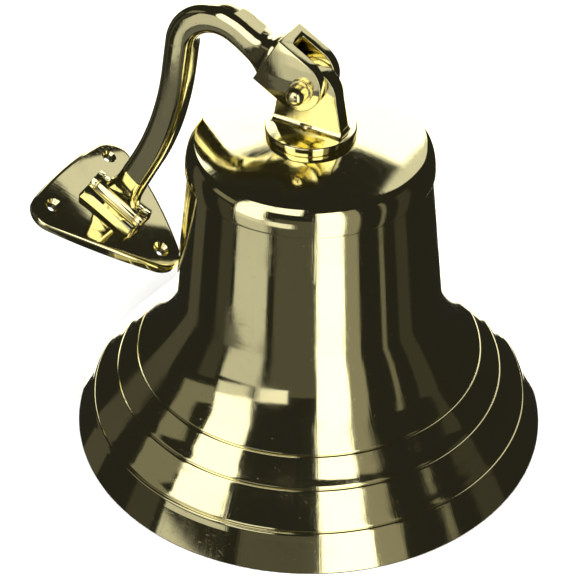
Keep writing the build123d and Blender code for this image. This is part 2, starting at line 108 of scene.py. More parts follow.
class Shader:
    """Builds one material's node tree."""

    def __init__(self, name: str) -> None:
        """Starts a material with an empty tree and its output."""
        self.material = bpy.data.materials.new(name)
        self.material.use_nodes = True
        self.tree = self.material.node_tree
        self.tree.nodes.clear()

    def node(self, kind: str, settings: dict, sockets: dict, output: Union[int, str] = 0) -> Value:
        """Adds a node.

        Args:
            kind: the node's type.
            settings: attributes, set first.
            sockets: input name or index to a number, a tuple or a Value.
            output: which output to hand back.

        Returns:
            The chosen output, wrapped.
        """
        made = self.tree.nodes.new(kind)
        for key, value in settings.items():
            setattr(made, key, value)
        for key, value in sockets.items():
            if isinstance(value, Value):
                self.tree.links.new(value.socket, made.inputs[key])
            else:
                made.inputs[key].default_value = value
        return Value(self, made.outputs[output])

    def vector(self, operation: str, *values: object, scale: Optional[float] = None,
               output: Union[int, str] = 0) -> Value:
        """Adds one Vector Math node.

        Args:
            operation: the node's operation.
            values: vectors or Values for its vector inputs, in order.
            scale: the factor, for SCALE.
            output: "Value" for a length or dot product.

        Returns:
            The node's result.
        """
        sockets = dict(enumerate(values))
        if scale is not None:
            sockets["Scale"] = scale
        return self.node("ShaderNodeVectorMath", {"operation": operation}, sockets, output)

    def part(self, value: Value, axis: str) -> Value:
        """One component of a vector."""
        return self.node("ShaderNodeSeparateXYZ", {}, {0: value}, axis)

    def join(self, x: object, y: object, z: object) -> Value:
        """A vector from three numbers or Values."""
        return self.node("ShaderNodeCombineXYZ", {}, {0: x, 1: y, 2: z})

    def place(self) -> Value:
        """Object coordinates."""
        return self.node("ShaderNodeTexCoord", {}, {}, "Object")

    def noise(self, where: Value, scale: float, detail: float = 2.0, rough: float = 0.5) -> Value:
        """Fractal noise, 0 to 1, at a place."""
        sockets = {"Vector": where, "Scale": scale, "Detail": detail, "Roughness": rough}
        return self.node("ShaderNodeTexNoise", {}, sockets)

    def mix(self, amount: Value, first: object, second: object) -> Value:
        """Mixes two colours."""
        made = self.node("ShaderNodeMix", {"data_type": "RGBA"}, {}, 2)
        owner = made.socket.node
        for index, value in ((0, amount), (6, first), (7, second)):
            if isinstance(value, Value):
                self.tree.links.new(value.socket, owner.inputs[index])
            else:
                owner.inputs[index].default_value = (*value, 1.0)
        return made

    def finish(self, surface: Value) -> Finish:
        """Joins a surface to the output and hands back the material."""
        output = self.tree.nodes.new("ShaderNodeOutputMaterial")
        self.tree.links.new(surface.socket, output.inputs["Surface"])
        return self.material


class Lay(Enum):
    """Which way the marks of finishing run: streaks per metre across and along."""

    WHEEL = (2600.0, 18.0)
    SATIN = (3200.0, 60.0)


@dataclass(frozen=True)
class Brass:
    """A brass finish, worked round the bell's axis and along it."""

    name: str
    tint: Colour = (0.90, 0.83, 0.47)
    tarnish: Colour = (0.60, 0.50, 0.27)
    tarnish_amount: float = 0.30
    roughness: float = 0.045
    smudge: float = 0.07
    lay: Lay = Lay.WHEEL
    streak_height: float = 3.2e-5
    turn_height: float = 1.5e-6
    wave_height: float = 5.0e-5
    wave_scale: float = 30.0
    pit_height: float = 1.0e-5
    hair_height: float = 8.0e-7
    around: float = 0.045
    ring_grain: float = 2.2

    def make(self) -> Finish:
        """Builds the material.

        Returns:
            A metal whose colour, roughness and relief vary over the piece.
        """
        s = Shader(self.name)
        where = s.place()
        flat = s.vector("MULTIPLY", where, (1.0, 1.0, 0.0))
        around = s.vector("NORMALIZE", flat)
        radius = s.vector("LENGTH", flat, output="Value")
        height = s.part(where, "Z")
        across, along = self.lay.value
        # streaks that run along the axis, and turning marks that run round it
        streak_turn = s.vector("SCALE", around, scale=across * self.around)
        streaks = s.noise(s.vector("ADD", streak_turn, s.join(0, 0, height * along)), 1.0, 4.0, 0.65)
        ring_turn = s.vector("SCALE", around, scale=self.ring_grain)
        ring_rise = s.join(radius * across, 0, height * across)
        rings = s.noise(s.vector("ADD", ring_turn, ring_rise), 1.0, 3.0, 0.6)
        waves = s.noise(where, self.wave_scale, 1.5, 0.4)
        patches = s.noise(where, 21.0, 5.0, 0.62).ramp(0.46, 0.78)
        smears = s.noise(s.vector("MULTIPLY", where, (55.0, 55.0, 14.0)), 1.0, 4.0, 0.6).ramp(0.50, 0.80)
        specks = s.noise(where, 900.0, 2.0, 0.5).ramp(0.70, 0.78)
        hairs = s.noise(s.vector("MULTIPLY", where, (130.0, 900.0, 260.0)), 1.0, 2.0, 0.5).ramp(0.66, 0.72)
        age = patches * 0.5 + smears * 0.3 + specks * 0.9 + streaks.ramp(0.55, 0.85) * 0.3
        colour = s.mix(age * self.tarnish_amount, self.tint, self.tarnish)
        rough = (self.roughness + patches * self.smudge + smears * self.smudge * 0.6
                 + streaks.ramp(0.45, 0.8) * 0.05 + hairs * 0.06 + specks * 0.2)
        relief = (waves * self.wave_height + streaks * (0.25 + patches) * self.streak_height
                  + rings * self.turn_height - specks * self.pit_height - hairs * self.hair_height)
        bump = s.node("ShaderNodeBump", {}, {"Strength": 1.0, "Distance": 1.0, "Height": relief})
        sockets = {"Base Color": colour, "Metallic": 1.0, "Roughness": rough, "Normal": bump}
        return s.finish(s.node("ShaderNodeBsdfPrincipled", {}, sockets))


# ------------------------------------------------------------------- studio
@dataclass
class Studio:
    """Pale floor, soft lights, reflection cards and the camera."""

    azimuth: float = 29.3
    elevation: float = 37.98
    distance: float = 1.0
    target: Vector = field(default_factory=lambda: Vector((-0.0099, -0.00555, 0.08362)))
    lens: float = 118.2
    card_away: float = 2.2
    dim_away: float = 2.4
    lamp_away: float = 2.0
    floor_reach: float = 14.0

    @staticmethod
    def towards(azimuth: float, elevation: float) -> Vector:
        """Unit vector from the bell towards an azimuth and elevation.

        Args:
            azimuth: degrees from -Y towards +X.
            elevation: degrees above the floor.

        Returns:
            The direction.
        """
        a, e = math.radians(azimuth), math.radians(elevation)
        return Vector((math.sin(a) * math.cos(e), -math.cos(a) * math.cos(e), math.sin(e)))

    def camera(self) -> None:
        """Places the camera and makes it the scene's own."""
        data = bpy.data.cameras.new("camera")
        data.lens = self.lens
        data.sensor_width = 36.0
        data.clip_end = 50.0
        made = bpy.data.objects.new("camera", data)
        bpy.context.scene.collection.objects.link(made)
        out = self.towards(self.azimuth, self.elevation)
        made.location = self.target + out * self.distance
        made.rotation_euler = (-out).to_track_quat("-Z", "Y").to_euler()
        bpy.context.scene.camera = made

    @staticmethod
    def glow(name: str, colour: Colour, strength: float) -> Finish:
        """Plain light-giving material."""
        s = Shader(name)
        sockets = {"Color": (*colour, 1.0), "Strength": strength}
        return s.finish(s.node("ShaderNodeEmission", {}, sockets))

    def card(self, name: str, turns: tuple[float, float], low: float, highs: tuple[float, float],
             strength: float, away: float, colour: Colour = (1.0, 0.99, 0.95)) -> None:
        """Upright reflection card that the brass mirrors and the camera doesn't see.

        Args:
            name: the card's name.
            turns: azimuths of its two ends from the camera's, in degrees.
            low: height of its bottom edge, in metres.
            highs: height of its top edge at each end, in metres.
            strength: how bright it is.
            away: distance from the bell's axis, in metres.
            colour: its tint.
        """
        ends = [self.towards(self.azimuth + turn, 0.0) * away for turn in turns]
        verts = [(ends[0].x, ends[0].y, low), (ends[1].x, ends[1].y, low),
                 (ends[1].x, ends[1].y, highs[1]), (ends[0].x, ends[0].y, highs[0])]
        mesh = bpy.data.meshes.new(name)
        mesh.from_pydata(verts, [], [(0, 1, 2, 3)])
        mesh.materials.append(self.glow(name, colour, strength))
        made = bpy.data.objects.new(name, mesh)
        bpy.context.scene.collection.objects.link(made)
        made.visible_camera = False
        made.visible_diffuse = False
        made.visible_shadow = False

    def ceiling(self) -> None:
        """Soft light from above, on the floor and the brass alike."""
        for name, turn, rise, size, power in (
            ("key_light", -50.0, 58.0, 1.1, 36.0),
            ("fill_light", 60.0, 50.0, 1.2, 24.0),
            ("back_light", 180.0, 60.0, 1.4, 26.0),
        ):
            data = bpy.data.lights.new(name, "AREA")
            data.shape = "DISK"
            data.size = size
            data.energy = power
            made = bpy.data.objects.new(name, data)
            bpy.context.scene.collection.objects.link(made)
            out = self.towards(self.azimuth + turn, rise)
            made.location = out * self.lamp_away
            made.rotation_euler = (-out).to_track_quat("-Z", "Y").to_euler()
            made.visible_glossy = False
            made.visible_camera = False

    def floor(self) -> None:
        """Pale floor with a faint mottle, kept out of the brass's reflections."""
        s = Shader("studio_floor")
        shade = s.noise(s.place(), 3.0, 3.0).ramp(0.2, 0.8)
        colour = s.mix(shade, (0.93, 0.93, 0.92), (0.95, 0.95, 0.94))
        surface = s.node("ShaderNodeBsdfPrincipled", {}, {"Base Color": colour, "Roughness": 0.8})
        mesh = bpy.data.meshes.new("floor")
        reach = self.floor_reach
        corners = [(-reach, -reach, 0), (reach, -reach, 0), (reach, reach, 0), (-reach, reach, 0)]
        mesh.from_pydata(corners, [], [(0, 1, 2, 3)])
        mesh.materials.append(s.finish(surface))
        made = bpy.data.objects.new("floor", mesh)
        bpy.context.scene.collection.objects.link(made)
        made.visible_glossy = False

    def bright_cards(self) -> None:
        """Cards that stand for windows, walls and lit boxes round the bell."""
        # ends, bottom, tops at each end, strength, distance
        for name, turns, low, highs, strength, away in (
            ("far_left", (154.0, 180.0), -1.7, (2.12, 1.70), 2.1, self.card_away),
            ("far_right", (180.0, 206.0), -1.7, (1.70, 2.12), 2.1, self.card_away),
            ("left_low", (-66.0, -36.0), -0.73, (0.04, 0.14), 0.57, 1.6),
            ("left_under", (-72.0, -36.0), -2.2, (-0.73, -0.73), 0.13, 1.6),
            ("left_box", (-61.0, -37.0), 0.13, (0.62, 0.62), 1.7, 0.35),
            ("left_mid", (-61.0, -39.0), 0.085, (0.13, 0.13), 0.72, 0.35),
            ("middle_mid", (-34.0, -14.0), 0.085, (0.14, 0.14), 1.0, 0.35),
            ("middle_box", (-36.0, -8.0), 0.32, (0.62, 0.62), 1.6, 0.35),
            ("right_tall", (5.0, 28.0), -2.0, (1.9, 1.9), 2.0, self.card_away),
            ("plate_card", (131.0, 157.0), 0.55, (1.2, 1.2), 0.72, 0.8),
        ):
            self.card(name, turns, low, highs, strength, away)

    def dim_cards(self) -> None:
        """Dim olive cards that stand for the rest of the room."""
        olive = (1.0, 0.96, 0.80)
        # ends, bottom, top, strength
        for name, turns, low, high, strength in (
            ("right_dim", (28.0, 41.0), -2.0, 1.9, 0.26),
            ("middle_dim", (-30.0, 5.0), -2.0, 0.4, 0.085),
            ("right_edge", (61.0, 65.0), -2.0, 1.2, 0.16),
            ("right_soft", (78.0, 92.0), -2.0, 0.9, 0.045),
            ("left_window", (-92.0, -68.0), 0.45, 1.05, 0.20),
            ("left_soft", (-84.0, -70.0), -2.0, 0.2, 0.05),
            ("left_edge", (-122.0, -106.0), -2.0, 0.7, 0.07),
        ):
            self.card(name, turns, low, (high, high), strength, self.dim_away, olive)

    def build(self) -> None:
        """Makes the whole studio."""
        self.camera()
        self.floor()
        self.ceiling()
        self.bright_cards()
        self.dim_cards()
        world = bpy.data.worlds.new("world")
        world.use_nodes = True
        back = world.node_tree.nodes["Background"]
        back.inputs["Color"].default_value = (0.020, 0.020, 0.017, 1.0)
        back.inputs["Strength"].default_value = 1.0
        scene = bpy.context.scene
        scene.world = world
        scene.view_settings.view_transform = "Standard"


# -------------------------------------------------------------- mesh making
def joint(name: str) -> dict:
    """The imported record's joint of that name."""
    return next(j for j in frame["joints"] if j["name"] == name)


PIN = Vector(joint("yoke_pivot")["pos_m"]) / MM
HINGE = Vector(joint("plate_hinge")["pos_m"]) / MM
DROP = Vector(joint("plate_hinge")["axis"]).normalized()
OUT = Vector((-DROP.z, 0.0, DROP.x))


def basis(origin: Vector, x_dir: Vector, y_dir: Vector) -> Matrix:
    """Matrix from a local frame, in millimetres, to the row frame, in metres."""
    z_dir = x_dir.cross(y_dir)
    turn = Matrix((x_dir, y_dir, z_dir)).transposed().to_4x4()
    return Matrix.Scale(MM, 4) @ Matrix.Translation(origin) @ turn


AHEAD = Vector((1.0, 0.0, 0.0))
ACROSS = Vector((0.0, 1.0, 0.0))
UP = Vector((0.0, 0.0, 1.0))
ROW = Matrix.Scale(MM, 4)
FRONT = basis(Vector(), AHEAD, UP)
SIDE = basis(Vector(), ACROSS, UP)
HUNG = basis(PIN, OUT, -DROP)
HINGE_DROP = 23.5
HINGE_RISE = 7.5
PLATE = basis(HINGE - DROP * HINGE_DROP - OUT * HINGE_RISE, DROP, ACROSS)


def turned_frame(origin: Vector, axis: Vector) -> Matrix:
    """Frame whose z is an axis that a piece is turned about."""
    z_dir = axis.normalized()
    x_dir = z_dir.orthogonal().normalized()
    return basis(origin, x_dir, z_dir.cross(x_dir))


def mesh_object(name: str, verts: Iterable[Point], edges: list, faces: list, place: Matrix) -> Piece:
    """Makes a mesh object at the origin.

    Args:
        name: the piece's name.
        verts: corners in the local frame.
        edges: pairs of corners, for a line.
        faces: rows of corners.
        place: what takes the corners to metres in the row frame.

    Returns:
        The object, linked to the scene.
    """
    mesh = bpy.data.meshes.new(name)
    mesh.from_pydata([tuple(v) for v in verts], edges, faces)
    mesh.transform(place)
    made = bpy.data.objects.new(name, mesh)
    bpy.context.scene.collection.objects.link(made)
    return made


def bake(piece: Piece) -> Piece:
    """Turns a piece's modifiers into plain mesh."""
    bpy.context.view_layer.update()
    graph = bpy.context.evaluated_depsgraph_get()
    mesh = bpy.data.meshes.new_from_object(piece.evaluated_get(graph), depsgraph=graph)
    piece.modifiers.clear()
    old, piece.data = piece.data, mesh
    bpy.data.meshes.remove(old)
    mesh.name = piece.name
    return piece


def tidy(piece: Piece, crease: float = 32.0, merge: float = 2e-6) -> Piece:
    """Merges doubles, turns faces outwards and shades smooth between creases.

    Args:
        piece: the piece.
        crease: degrees past which an edge stays sharp.
        merge: distance below which corners are merged, in metres.

    Returns:
        The same piece.
    """
    mesh = bmesh.new()
    mesh.from_mesh(piece.data)
    bmesh.ops.remove_doubles(mesh, verts=mesh.verts, dist=merge)
    bmesh.ops.dissolve_degenerate(mesh, edges=mesh.edges, dist=merge / 2)
    bmesh.ops.recalc_face_normals(mesh, faces=mesh.faces)
    mesh.to_mesh(piece.data)
    mesh.free()
    piece.data.shade_smooth()
    piece.data.set_sharp_from_angle(angle=math.radians(crease))
    return piece


def soften(piece: Piece, width: float, segments: int = 3, limit: float = 35.0) -> Piece:
    """Rounds a piece's edges.

    Args:
        piece: the piece.
        width: width of the round, in millimetres.
        segments: faces across it.
        limit: degrees past which an edge is rounded.

    Returns:
        The same piece.
    """
    made = piece.modifiers.new("round", "BEVEL")
    made.width = width * MM
    made.segments = segments
    made.limit_method = "ANGLE"
    made.angle_limit = math.radians(limit)
    made.miter_outer = "MITER_ARC"
    return bake(piece)


def combine(piece: Piece, tool: Piece, how: str = "DIFFERENCE") -> Piece:
    """Cuts, joins or trims a piece with another, which is used up."""
    tidy(piece)
    tidy(tool)
    made = piece.modifiers.new("combine", "BOOLEAN")
    made.operation = how
    made.solver = "EXACT"
    made.object = tool
    bake(piece)
    bpy.data.objects.remove(tool)
    return piece


def arc(centre: tuple[float, float], radius: float, start: float, end: float, steps: int = 12) -> Profile:
    """Points on an arc, from start to end in degrees."""
    turns = [math.radians(start + (end - start) * k / steps) for k in range(steps + 1)]
    return [(centre[0] + radius * math.cos(t), centre[1] + radius * math.sin(t)) for t in turns]


def bowed(first: Sequence[float], last: Sequence[float], bulge: float, steps: int = 14) -> Profile:
    """Points on a shallow arc between two ends, without the first.

    Args:
        first: where it starts.
        last: where it ends.
        bulge: height of its middle to the right of the way it runs.
        steps: how many points.

    Returns:
        The points.
    """
    a, b = Vector(first[:2]), Vector(last[:2])
    side = Vector((b.y - a.y, a.x - b.x)).normalized() * bulge
    return [tuple(a.lerp(b, t) + side * (4 * t * (1 - t))) for t in (k / steps for k in range(1, steps + 1))]


def rounded(corners: Sequence[tuple[float, float]], radii: Sequence[float], closed: bool = False,
            steps: int = 10) -> Profile:
    """Rounds the corners of a run of straight lines.

    Args:
        corners: the corners.
        radii: one radius for each corner, and 0 keeps it sharp.
        closed: whether the last corner joins the first.
        steps: points on each round.

    Returns:
        The points.
    """
    made: Profile = []
    count = len(corners)
    for k, (corner, radius) in enumerate(zip(corners, radii)):
        here = Vector(corner)
        if radius <= 0 or (not closed and k in (0, count - 1)):
            made.append(tuple(here))
            continue
        before = (Vector(corners[k - 1]) - here).normalized()
        after = (Vector(corners[(k + 1) % count]) - here).normalized()
        half = before.angle(after) / 2
        centre = here + (before + after).normalized() * (radius / math.sin(half))
        start = here + before * (radius / math.tan(half)) - centre
        end = here + after * (radius / math.tan(half)) - centre
        sweep = start.angle_signed(end)
        turn = [Matrix.Rotation(-sweep * t / steps, 2) @ start for t in range(steps + 1)]
        made.extend(tuple(centre + point) for point in turn)
    return made


def prism_faces(count: int) -> list[tuple[int, ...]]:
    """Faces of a solid between two outlines of so many corners."""
    sides = [(k, (k + 1) % count, (k + 1) % count + count, k + count) for k in range(count)]
    return [tuple(range(count))[::-1], tuple(range(count, 2 * count)), *sides]


def prism(name: str, outline: Profile, low: float, high: float, place: Matrix) -> Piece:
    """Straight-sided solid on an outline, between two heights of its frame."""
    verts = [(x, y, z) for z in (low, high) for x, y in outline]
    return tidy(mesh_object(name, verts, [], prism_faces(len(outline)), place))


def box_outline(width: float, depth: float, middle: tuple[float, float] = (0, 0),
                corner: float = 0.0, steps: int = 6) -> Profile:
    """Outline of a rectangle, with rounded corners if wanted."""
    w, d = width / 2, depth / 2
    corners = [(middle[0] + x, middle[1] + y) for x, y in ((-w, -d), (w, -d), (w, d), (-w, d))]
    return rounded(corners, [corner] * 4, closed=True, steps=steps)


# ----------------------------------------------------------- geometry nodes
class Nodes:
    """Builds one Geometry Nodes tree with named inputs and a material."""

    def __init__(self, name: str, **inputs: tuple[str, object]) -> None:
        """Starts a tree.

        Args:
            name: the tree's name.
            inputs: name to (socket type, default).
        """
        self.tree = bpy.data.node_groups.new(name, "GeometryNodeTree")
        self.tree.interface.new_socket(name="Geometry", in_out="INPUT", socket_type="NodeSocketGeometry")
        for key, (kind, default) in inputs.items():
            made = self.tree.interface.new_socket(name=key, in_out="INPUT", socket_type="NodeSocket" + kind)
            made.default_value = default
        self.tree.interface.new_socket(name="Material", in_out="INPUT", socket_type="NodeSocketMaterial")
        self.tree.interface.new_socket(name="Geometry", in_out="OUTPUT", socket_type="NodeSocketGeometry")
        self.given = self.tree.nodes.new("NodeGroupInput")

    def node(self, kind: str, settings: dict, sockets: dict) -> bpy.types.NodeSocket:
        """Adds a node.

        Args:
            kind: the node's type.
            settings: attributes, set first.
            sockets: input name or index to a value or to another node's output.

        Returns:
            The node's first output.
        """
        made = self.tree.nodes.new(kind)
        for key, value in settings.items():
            setattr(made, key, value)
        for key, value in sockets.items():
            if isinstance(value, bpy.types.NodeSocket):
                self.tree.links.new(value, made.inputs[key])
            else:
                made.inputs[key].default_value = value
        return made.outputs[0]

    def end(self, geometry: bpy.types.NodeSocket) -> "Nodes":
        """Ends the tree with Realize Instances and Set Material."""
        real = self.node("GeometryNodeRealizeInstances", {}, {0: geometry})
        sockets = {0: real, "Material": self.given.outputs["Material"]}
        named = self.node("GeometryNodeSetMaterial", {}, sockets)
        output = self.tree.nodes.new("NodeGroupOutput")
        self.tree.links.new(named, output.inputs[0])
        return self

    def run(self, piece: Piece, finish: Finish, **values: object) -> None:
        """Runs the tree on a piece and leaves plain mesh.

        Args:
            piece: the piece whose mesh is the tree's geometry.
            finish: what the result is made of.
            values: the tree's inputs by name.
        """
        made = piece.modifiers.new(self.tree.name, "NODES")
        made.node_group = self.tree
        names = {item.name: item.identifier for item in self.tree.interface.items_tree
                 if item.item_type == "SOCKET" and item.in_out == "INPUT"}
        for key, value in {**values, "Material": finish}.items():
            made[names[key]] = value
        bake(piece)


def lathe_tree() -> Nodes:
    """Tree that turns a profile, drawn as x = radius and y = height, about z."""
    made = Nodes("turn_on_lathe", Segments=("Int", 64))
    profile = made.node("GeometryNodeMeshToCurve", {}, {0: made.given.outputs["Geometry"]})
    shift = {0: profile, "Translation": (-1.0, 0.0, 0.0), "Scale": (1.0, -1.0, 1.0)}
    shifted = made.node("GeometryNodeTransform", {}, shift)
    sockets = {"Resolution": made.given.outputs["Segments"], "Radius": 1.0}
    circle = made.node("GeometryNodeCurvePrimitiveCircle", {"mode": "RADIUS"}, sockets)
    level = made.node("GeometryNodeSetCurveNormal", {"mode": "Z_UP"}, {0: circle})
    return made.end(made.node("GeometryNodeCurveToMesh", {}, {0: level, "Profile Curve": shifted}))


def sweep_tree() -> Nodes:
    """Tree that runs a round-cornered bar along a path in a plane of constant Y.

    The path's points carry "widen" and "deepen", the bar's size in the plane and along Y.
    """
    made = Nodes("sweep_bar", Bar=("Float", 0.01), Corner=("Float", 0.003), CornerPoints=("Int", 8))
    given = made.given.outputs
    path = made.node("GeometryNodeMeshToCurve", {}, {0: given["Geometry"]})
    where = made.node("GeometryNodeInputPosition", {}, {})
    kept = made.node("GeometryNodeStoreNamedAttribute", {"data_type": "FLOAT_VECTOR", "domain": "POINT"},
                     {0: path, "Name": "middle", "Value": where})
    level = made.node("GeometryNodeSetCurveNormal", {"mode": "MINIMUM_TWIST"}, {0: kept})
    square = made.node("GeometryNodeCurvePrimitiveQuadrilateral", {"mode": "RECTANGLE"},
                       {"Width": given["Bar"], "Height": given["Bar"]})
    section = made.node("GeometryNodeFilletCurve", {"mode": "POLY"},
                        {0: square, "Count": given["CornerPoints"], "Radius": given["Corner"]})
    swept = made.node("GeometryNodeCurveToMesh", {}, {0: level, "Profile Curve": section, "Fill Caps": True})
    vector = {"data_type": "FLOAT_VECTOR"}
    middle = made.node("GeometryNodeInputNamedAttribute", vector, {"Name": "middle"})
    widen = made.node("GeometryNodeInputNamedAttribute", {"data_type": "FLOAT"}, {"Name": "widen"})
    deepen = made.node("GeometryNodeInputNamedAttribute", {"data_type": "FLOAT"}, {"Name": "deepen"})
    offset = made.node("ShaderNodeVectorMath", {"operation": "SUBTRACT"}, {0: where, 1: middle})
    sizes = made.node("ShaderNodeCombineXYZ", {}, {0: widen, 1: deepen, 2: widen})
    grown = made.node("ShaderNodeVectorMath", {"operation": "MULTIPLY"}, {0: offset, 1: sizes})
    moved = made.node("ShaderNodeVectorMath", {"operation": "ADD"}, {0: middle, 1: grown})
    return made.end(made.node("GeometryNodeSetPosition", {}, {0: swept, "Position": moved}))


def thread_tree() -> Nodes:
    """Tree that sets a ridge at even steps up a shank."""
    made = Nodes("thread_ridges", Ridges=("Int", 5), Pitch=("Float", 0.001), Foot=("Float", 0.1),
                 Shank=("Float", 0.006), Wire=("Float", 0.0004))
    given = made.given.outputs
    start = made.node("ShaderNodeCombineXYZ", {}, {2: given["Foot"]})
    step = made.node("ShaderNodeCombineXYZ", {}, {2: given["Pitch"]})
    sockets = {"Count": given["Ridges"], "Start Location": start, "Offset": step}
    line = made.node("GeometryNodeMeshLine", {}, sockets)
    circle = made.node("GeometryNodeCurvePrimitiveCircle", {"mode": "RADIUS"},
                       {"Resolution": 48, "Radius": given["Shank"]})
    wire = made.node("GeometryNodeCurvePrimitiveCircle", {"mode": "RADIUS"},
                     {"Resolution": 6, "Radius": given["Wire"]})
    ridge = made.node("GeometryNodeCurveToMesh", {}, {0: circle, "Profile Curve": wire})
    placed = made.node("GeometryNodeInstanceOnPoints", {}, {0: line, "Instance": ridge})
    joined = made.tree.nodes.new("GeometryNodeJoinGeometry")
    made.tree.links.new(placed, joined.inputs[0])
    made.tree.links.new(given["Geometry"], joined.inputs[0])
    return made.end(joined.outputs[0])


def line_object(name: str, runs: Sequence[Profile], closed: bool, place: Matrix) -> Piece:
    """Makes one or more lines as a mesh, for a tree to follow."""
    verts: list[Point] = []
    edges: list[tuple[int, int]] = []
    for run in runs:
        first, count = len(verts), len(run)
        edges += [(first + k, first + k + 1) for k in range(count - 1)]
        if closed:
            edges.append((first + count - 1, first))
        verts += [(x, y, 0.0) for x, y in run]
    return mesh_object(name, verts, edges, [], place)


def ring_section(inner: float, outer: float, low: float, high: float, edge: float = 0.0,
                 steps: int = 4) -> Profile:
    """Section of a ring or a pin, with its outer edges rounded."""
    corners = [(inner, low), (outer, low), (outer, high), (inner, high)]
    return rounded(corners, [0, edge, edge, 0], steps=steps)


def hexagon(flats: float) -> Profile:
    """Outline of a nut, from its size across the flats."""
    corner = flats / 2 / math.cos(math.radians(30))
    turns = [math.radians(60 * k) for k in range(6)]
    return [(corner * math.cos(t), corner * math.sin(t)) for t in turns]


@dataclass
class Shop:
    """The trees that the sub-assemblies share, and the work that they do."""

    lathe: Nodes = field(default_factory=lathe_tree)
    sweep: Nodes = field(default_factory=sweep_tree)
    thread: Nodes = field(default_factory=thread_tree)
    drill_reach: float = 30.0

    def turned(self, name: str, profiles: Sequence[Profile], place: Matrix, finish: Finish,
               segments: int = 96, closed: bool = False) -> Piece:
        """Turns profiles about their frame's z axis.

        Args:
            name: the piece's name.
            profiles: runs of (radius, height) points in millimetres.
            place: the frame.
            finish: what it is made of.
            segments: faces round it.
            closed: whether the profile is a loop, for a piece with a bore.

        Returns:
            The piece.
        """
        piece = line_object(name, profiles, closed, ROW)
        self.lathe.run(piece, finish, Segments=segments)
        piece.data.transform(place @ Matrix.Scale(1 / MM, 4))
        return tidy(piece)

    def fitting(self, name: str, profiles: Sequence[Profile], place: Matrix, finish: Finish,
                segments: int, home: Sequence[str], closed: bool = False) -> None:
        """Turns a piece and dresses it.

        Args:
            name: the piece's name.
            profiles: runs of (radius, height) points in millimetres.
            place: the frame.
            finish: what it is made of.
            segments: faces round it.
            home: its body, its slot and the CAD node that it stands for.
            closed: whether the profile is a loop.
        """
        dress(self.turned(name, profiles, place, finish, segments, closed), *home)

    def drilled(self, piece: Piece, radius: float, about: Matrix, finish: Finish,
                segments: int = 48) -> Piece:
        """Drills a round hole right through a piece, along a frame's z axis."""
        hole = ring_section(0, radius, -self.drill_reach, self.drill_reach)
        return combine(piece, self.turned("drill", [hole], about, finish, segments))

    def swept(self, name: str, rows: Sequence[Sequence[float]], place: Matrix, finish: Finish,
              bar: float, corner: float, points: int) -> Piece:
        """Runs a round-cornered bar along a line.

        Args:
            name: the piece's name.
            rows: each point's x and y, and the bar's width and depth there, in millimetres.
            place: the line's frame.
            finish: what it is made of.
            bar: side of the square bar, in millimetres.
            corner: radius of its corners.
            points: points on each corner.

        Returns:
            The piece.
        """
        piece = line_object(name, [[(row[0], row[1]) for row in rows]], False, place)
        for attribute, column in (("widen", 2), ("deepen", 3)):
            made = piece.data.attributes.new(attribute, "FLOAT", "POINT")
            made.data.foreach_set("value", [row[column] / bar for row in rows])
        self.sweep.run(piece, finish, Bar=bar * MM, Corner=corner * MM, CornerPoints=points)
        for attribute in ("middle", "widen", "deepen"):
            if attribute in piece.data.attributes:
                piece.data.attributes.remove(piece.data.attributes[attribute])
        return piece


def paint(piece: Piece, finish: Finish) -> Piece:
    """Makes a piece of one material."""
    piece.data.materials.clear()
    piece.data.materials.append(finish)
    piece.data.polygons.foreach_set("material_index", [0] * len(piece.data.polygons))
    return piece


def dress(piece: Piece, body: str, slot: str, *nodes: str) -> None:
    """Lets a piece ride on its body and stands it for CAD nodes.

    Args:
        piece: the piece.
        body: the body that it moves with.
        slot: its material slot in the record; not used.
        nodes: the CAD nodes that it stands for.
    """
    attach(piece, body)
    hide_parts(*nodes)
    LOG.info("%s: %d faces, rides on %s", piece.name, len(piece.data.polygons), body)


